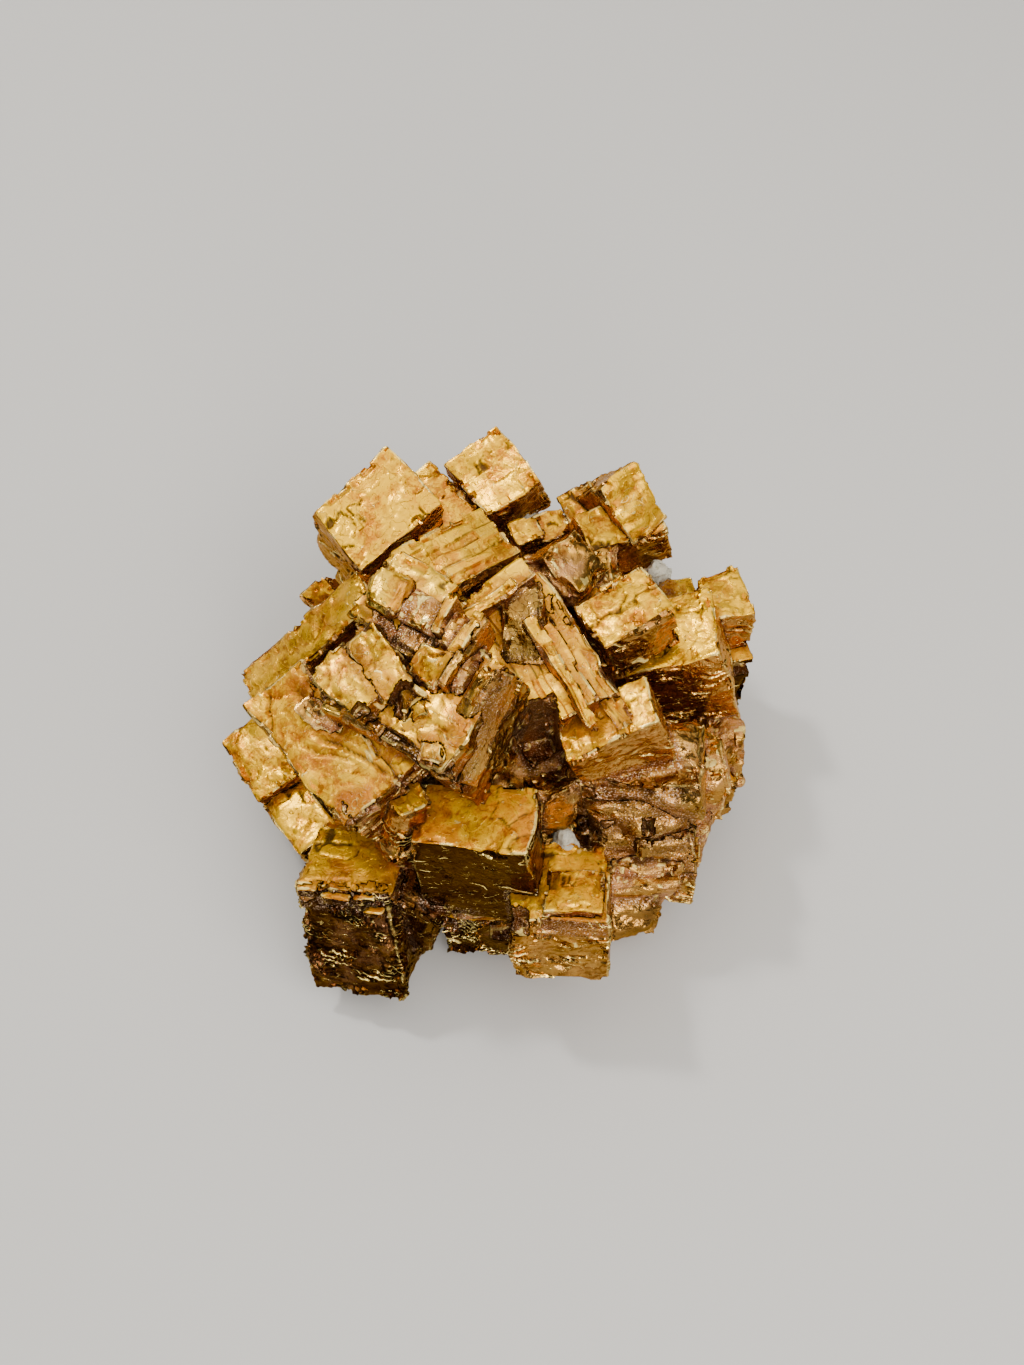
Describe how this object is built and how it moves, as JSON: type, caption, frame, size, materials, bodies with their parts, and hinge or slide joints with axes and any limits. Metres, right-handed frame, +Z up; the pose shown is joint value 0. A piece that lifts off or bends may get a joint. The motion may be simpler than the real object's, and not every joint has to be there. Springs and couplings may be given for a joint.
{
  "type": "oxidised pyrite crystal cluster",
  "caption": "Cluster of intergrown oxidised pyrite cubes with stepped faces, cut flat underneath to rest on a shelf.",
  "frame": {"origin": "middle of the cluster's bounding box, at the height of the flat cut that it rests on", "axes": "+Z up from the cut face, +Y away from the viewer who faces the two large dark cubes, +X to that viewer's right"},
  "size_m": [0.055, 0.0572, 0.0385],
  "materials": {
    "oxidised_pyrite": "half-metallic bronze skin of iron oxide, golden where it faces up and chocolate brown on the steep faces, satin with worn glinting edges"
  },
  "bodies": {
    "root": {"pyrite_cluster": "oxidised_pyrite"}
  },
  "joints": []
}
